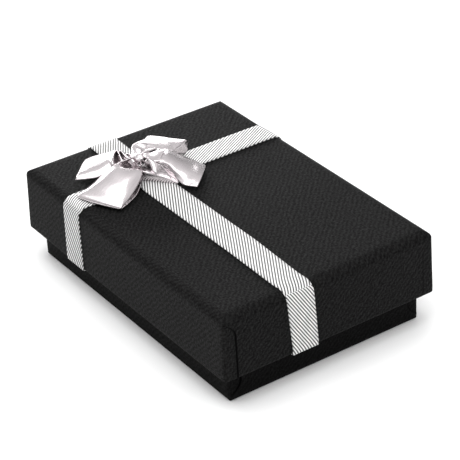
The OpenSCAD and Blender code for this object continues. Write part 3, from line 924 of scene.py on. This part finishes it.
def make_tie():
    """Two turns of wire round the bow's neck, with its ends twisted together under a loop."""
    turns = []
    for k in range(49):
        a = 4 * math.pi * k / 48
        turns.append((0.95 * math.cos(a) - 1.0, 0.95 * math.sin(a) - 0.1, 2.9 + 0.4 * k / 48))
    twist = [(-1.9 - 0.9 * t, -0.1 + 0.5 * t + 0.16 * math.sin(14 * t),
              3.3 - 0.7 * t + 0.16 * math.cos(14 * t)) for t in np.linspace(0.1, 1.2, 24)]
    path = np.array(turns + twist) + np.array([CROSS_X, CROSS_Y, LID_TOP])
    obj = tube("bow_tie_wire", path, 0.19)
    dress(obj, WIRE_MATERIAL, "lid", "bow_tie")


def make_glue():
    """A flattened dab of glue with a soft, uneven outline, and a neck up to the pinch."""
    profile = ((0.0, 2.05), (0.12, 2.1), (0.3, 1.95), (0.42, 1.6), (0.6, 1.15), (0.9, 0.85), (1.2, 0.7),
               (1.4, 0.5), (1.45, 0.02))
    points, rows, cols = [], len(profile), 32
    for r, (height, radius) in enumerate(profile):
        t = r / (rows - 1)
        for c in range(cols):
            a = 2 * math.pi * c / cols
            wobble = 1 + 0.12 * noise.noise(Vector((math.cos(a), math.sin(a), 0.4 * t)) * 1.3)
            points.append((CROSS_X - 0.3 * t + radius * wobble * math.cos(a),
                           CROSS_Y - 0.3 * t + radius * wobble * math.sin(a), GLUE_BOTTOM + height))
    obj = make_object("bow_glue_dab", points, capped_faces(rows, cols))
    dress(obj, GLUE_MATERIAL, "lid", "bow_glue")


# ---- Insert ----

# The pad: how deep its slits are pressed, its slits' lengths, the ear posts' pitch and its crown.
SLIT_DEPTH = 4.5
RING_SLIT = 22.0
CHAIN_SLIT = 8.0
POST_PITCH = 16.0
PAD_CROWN = 0.25


def groove(distance, half_width):
    """Depth share of a pressed slit at a distance from its middle line."""
    return 1 - smooth_step(distance, half_width * 0.35, half_width * 1.7)


def pad_dips(x, y, half_x, half_y):
    """Share of the slits' depth at a place on the pad."""
    ring_line = np.hypot(np.maximum(np.abs(x) - RING_SLIT / 2, 0), y)
    dip = groove(ring_line, 0.5)
    for side in (-1, 1):
        cx, cy = side * (half_x - CHAIN_SLIT), half_y - CHAIN_SLIT
        ux, uy = math.cos(math.radians(-45 * side)), math.sin(math.radians(-45 * side))
        along = (x - cx) * ux + (y - cy) * uy
        off = -(x - cx) * uy + (y - cy) * ux
        chain_line = np.hypot(np.maximum(np.abs(along) - CHAIN_SLIT / 2, 0), off)
        dip = np.maximum(dip, groove(chain_line, 0.45))
        post = np.hypot(x - side * POST_PITCH / 2, y + half_y / 2)
        dip = np.maximum(dip, groove(post, 0.55))
    return dip


def pad_shell(half_x, half_y, low, high, edge, step, skirt_levels):
    """Top and skirt of a pad whose top edge is round and whose slits are pressed in.

    Returns points, faces and the indices of the skirt's lowest row."""
    nx, ny = int(2 * half_x / step) + 1, int(2 * half_y / step) + 1
    s = np.linspace(-1, 1, nx)
    t = np.linspace(-1, 1, ny)
    px, py = half_x - edge, half_y - edge
    gx, gy = np.meshgrid(s * px, t * py)
    dome = PAD_CROWN * (1 - (gx / px) ** 2) * (1 - (gy / py) ** 2)
    gz = high - PAD_CROWN + dome - SLIT_DEPTH * pad_dips(gx, gy, half_x, half_y)
    points = list(np.stack([gx, gy, gz], -1).reshape(-1, 3))
    faces = grid_faces(ny, nx)
    border = ([(0, i) for i in range(nx)] + [(j, nx - 1) for j in range(1, ny)]
              + [(ny - 1, i) for i in range(nx - 2, -1, -1)] + [(j, 0) for j in range(ny - 2, 0, -1)])
    previous = [j * nx + i for j, i in border]
    for a in np.radians(np.linspace(18, 90, 5)):
        current = []
        for j, i in border:
            x, y = s[i] * px, t[j] * py
            dx = math.copysign(1, s[i]) if i in (0, nx - 1) else 0.0
            dy = math.copysign(1, t[j]) if j in (0, ny - 1) else 0.0
            length = math.hypot(dx, dy)
            reach = edge * math.sin(a)
            current.append(len(points))
            points.append((x + reach * dx / length, y + reach * dy / length,
                           high - PAD_CROWN - edge * (1 - math.cos(a))))
        faces += ring_faces(previous, current)
        previous = current
    start = high - PAD_CROWN - edge
    for z in np.linspace(start, low, skirt_levels)[1:]:
        share = (start - z) / (start - low)
        bulge = 0.15 * math.sin(math.pi * share)
        current = []
        for k in previous:
            x, y, _ = points[k]
            current.append(len(points))
            points.append((x + bulge * 0.2 * np.sign(x) * (abs(x) > px),
                           y + bulge * 0.2 * np.sign(y) * (abs(y) > py), z))
        faces += ring_faces(previous, current)
        previous = current
    return points, faces, previous


def ring_faces(inner, outer):
    count = len(inner)
    return [(inner[k], outer[k], outer[(k + 1) % count], inner[(k + 1) % count]) for k in range(count)]


def make_insert():
    half_x, half_y = VELVET_HIGH[0], VELVET_HIGH[1]
    thickness = FOAM_LOW[0] - VELVET_LOW[0]
    points, faces, _ = pad_shell(half_x, half_y, VELVET_LOW[2], VELVET_HIGH[2], 1.4, 0.42, 8)
    cover = make_object("insert_velvet_cover", points, faces)
    thicken(cover, 0.3)
    dress(cover, VELVET_MATERIAL, "insert", "insert_velvet")

    points, faces, bottom = pad_shell(half_x - thickness, half_y - thickness, FOAM_LOW[2], FOAM_HIGH[2],
                                      1.0, 0.6, 6)
    faces.append(tuple(bottom))
    core = make_object("insert_foam_core", points, faces)
    dress(core, FOAM_MATERIAL, "insert", "insert_foam")


# ---- Stage ----

def make_floor():
    size, cells = 3000.0, 12
    line = np.linspace(-size, size, cells + 1)
    points = np.array([[(x, y, 0.0) for x in line] for y in line])
    floor = grid_object("floor", points, points[..., :2])
    floor.data.materials.append(studio_floor())


def soft_light(name, place, target, size, power):
    data = bpy.data.lights.new(name, "AREA")
    data.shape = "RECTANGLE"
    data.size, data.size_y = size
    data.energy = power
    obj = add_object(name, data)
    obj.location = place
    obj.rotation_euler = (Vector(target) - Vector(place)).to_track_quat("-Z", "Y").to_euler()


def make_lights():
    world = bpy.data.worlds.new("studio")
    world.use_nodes = True
    tree = world.node_tree
    background = tree.nodes["Background"]
    background.inputs["Color"].default_value = (1.0, 1.0, 1.0, 1.0)
    split = tree.nodes.new("ShaderNodeSeparateXYZ")
    tree.links.new(tree.nodes.new("ShaderNodeTexCoord").outputs["Generated"], split.inputs[0])
    rise = tree.nodes.new("ShaderNodeMapRange")
    tree.links.new(split.outputs[2], rise.inputs["Value"])
    rise.inputs["To Min"].default_value = 0.25
    rise.inputs["To Max"].default_value = 1.15
    tree.links.new(rise.outputs[0], background.inputs["Strength"])
    bpy.context.scene.world = world
    soft_light("overhead", (-0.1, -0.15, 1.0), (0, 0, 0), (1.0, 1.0), 7.0)
    soft_light("left", (-0.9, 0.26, 0.15), (0, 0, 0.02), (0.9, 0.22), 4.0)
    soft_light("right", (0.75, 0.15, 0.75), (0, 0, 0), (0.6, 0.6), 1.6)


def make_camera():
    """Looks at the box's middle from the +X, -Y side, from above, with a slight roll."""
    target = Vector((-0.32, 2.02, 13.64)) * MM
    azimuth, elevation, roll = (math.radians(a) for a in (56.70, 31.30, 2.98))
    distance = 0.4508
    back = Vector((math.sin(azimuth) * math.cos(elevation), -math.cos(azimuth) * math.cos(elevation),
                   math.sin(elevation)))
    right = Vector((0, 0, 1)).cross(back).normalized()
    up = back.cross(right)
    rolled = right * math.cos(roll) - up * math.sin(roll)
    upright = back.cross(rolled)
    data = bpy.data.cameras.new("camera")
    data.sensor_width = 36.0
    data.lens = 156.7
    data.clip_start, data.clip_end = 0.01, 10.0
    camera = add_object("camera", data)
    turn = Matrix((rolled, upright, back)).transposed()
    camera.matrix_world = Matrix.Translation(target + back * distance) @ turn.to_4x4()
    bpy.context.scene.camera = camera


# ---- The scene ----

LID_PAPER = wrap_paper("wrap_paper", 0.065, grey(0.0004), grey(0.0125), 0.1)
# A darker, less glossy copy of the lid's paper for the base: its darker colour and weaker gloss are painted
# shade under the lid, its shallower emboss a smoother paper.
SHADED_BASE_PAPER = wrap_paper("wrap_paper_base_shaded", 0.04, grey(0.0002), grey(0.006), 0.05)
RIBBON_MATERIAL = woven_ribbon()
FOIL_MATERIAL = foil_ribbon()
FOAM_MATERIAL = foam_cells()
VELVET_MATERIAL = flocked_velvet()
WIRE_MATERIAL = drawn_wire()
GLUE_MATERIAL = hot_glue()
LINING_MATERIAL = lining_paper()
BOARD_MATERIAL = fibre_board("greyboard", (0.16, 0.145, 0.12, 1), (0.3, 0.28, 0.24, 1), 0.7)
CARD_MATERIAL = fibre_board("card", (0.36, 0.35, 0.33, 1), (0.5, 0.49, 0.46, 1), 0.4)
STAY_MATERIAL = fibre_board("stay_paper", (0.42, 0.27, 0.13, 1), (0.55, 0.38, 0.21, 1), 0.3)


def dress_cad_nodes():
    """Finishes for the CAD nodes that keep their own meshes."""
    finishes = {
        "base_board": (BOARD_MATERIAL, "greyboard"), "lid_board": (BOARD_MATERIAL, "greyboard"),
        "base_corner_stays": (STAY_MATERIAL, "stay_paper"), "lid_corner_stays": (STAY_MATERIAL, "stay_paper"),
        "base_liner": (LINING_MATERIAL, "lining_paper"), "lid_liner": (LINING_MATERIAL, "lining_paper"),
        "insert_card": (CARD_MATERIAL, "card"),
    }
    for node, (material, slot) in finishes.items():
        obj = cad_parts[node]
        obj.data.materials.clear()
        obj.data.materials.append(material)


make_camera()
make_lights()
make_floor()
dress_cad_nodes()
make_wrap("lid_wrap_paper", "lid_wrap", "lid", LID_PAPER, False, LID_LOW, LID_HIGH, wall=LID_WALL,
          turn=LID_LINER_RIM - LID_RIM, edge=LID_EDGE, corner=LID_CORNER, flare=FLARE, crown=CROWN)
make_wrap("base_wrap_paper", "base_wrap", "base", SHADED_BASE_PAPER, True, BASE_LOW, BASE_HIGH, wall=LID_WALL,
          turn=BASE_HIGH[2] - BASE_LINER_RIM, edge=BASE_EDGE, corner=BASE_CORNER, flare=0.0, crown=0.0)
make_ribbon("ribbon_long_woven", "ribbon_long", 0, CROSS_Y, LONG_SLACK, LID_HIGH[0],
            steps_over=(CROSS_LOW[0], CROSS_HIGH[0]))
make_ribbon("ribbon_cross_woven", "ribbon_cross", 1, CROSS_X, CROSS_SLACK, LID_HIGH[1])
make_tie()
make_glue()
make_bow()
make_insert()

bpy.context.scene.view_settings.view_transform = "Standard"
